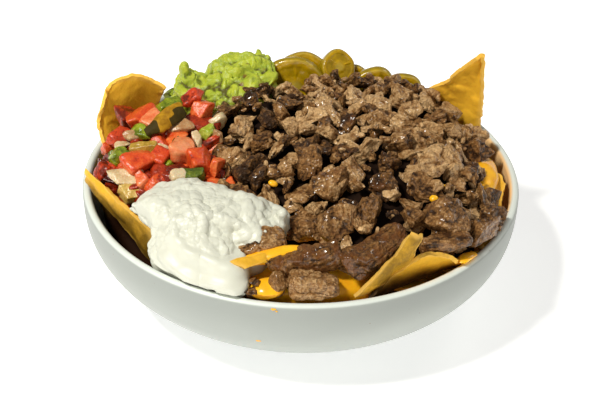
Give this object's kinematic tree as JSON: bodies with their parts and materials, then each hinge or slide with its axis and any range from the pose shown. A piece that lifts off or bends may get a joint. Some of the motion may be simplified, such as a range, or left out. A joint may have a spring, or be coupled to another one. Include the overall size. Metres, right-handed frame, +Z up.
{
  "type": "bowl of loaded nachos",
  "caption": "Round stoneware bowl heaped with tortilla chips, cheese sauce, chopped grilled beef, sour cream, guacamole, fresh salsa and pickled pepper slices.",
  "frame": {"origin": "middle of the bowl's foot ring, on the surface that the bowl stands on", "axes": "+Z up out of the bowl; -Y towards the side where the cream runs down to the lip; +X to the side with most of the beef"},
  "size_m": [0.216, 0.216, 0.1125],
  "materials": {
    "glaze": "matte off-white glaze with tiny brown specks",
    "chip": "dry fried corn tortilla, golden with paler rims and blisters",
    "sauce": "glossy smooth cheese sauce",
    "beef": "grilled beef, moist and fibrous, grey-brown to dark brown",
    "cream": "thick sour cream with a soft wet sheen",
    "guacamole": "lumpy mashed avocado with a wet sheen",
    "salsa": "wet cut tomato with onion and green pepper",
    "roasted_pepper": "ochre roasted pepper with charred patches",
    "pickle": "translucent olive pickled pepper flesh"
  },
  "bodies": {
    "root": {"bowl": "glaze", "chip_bed": "chip", "chip_back_left": "chip", "chip_back_right": "chip", "chip_left": "chip", "chip_front_tall": "chip", "chip_front_low": "chip", "chip_front_small": "chip", "chip_right": "chip", "cheese_sauce": "sauce", "sour_cream": "cream", "guacamole": "guacamole", "beef_heap": "beef", "beef_front_cube": "beef", "beef_front_small": "beef", "beef_strip_left": "beef", "beef_strip_right": "beef", "beef_wedge": "beef", "salsa_heap": "salsa", "pepper_strip": "roasted_pepper", "jalapeno_1": "pickle", "jalapeno_2": "pickle", "jalapeno_3": "pickle", "jalapeno_4": "pickle", "jalapeno_5": "pickle", "jalapeno_6": "pickle"}
  },
  "joints": []
}
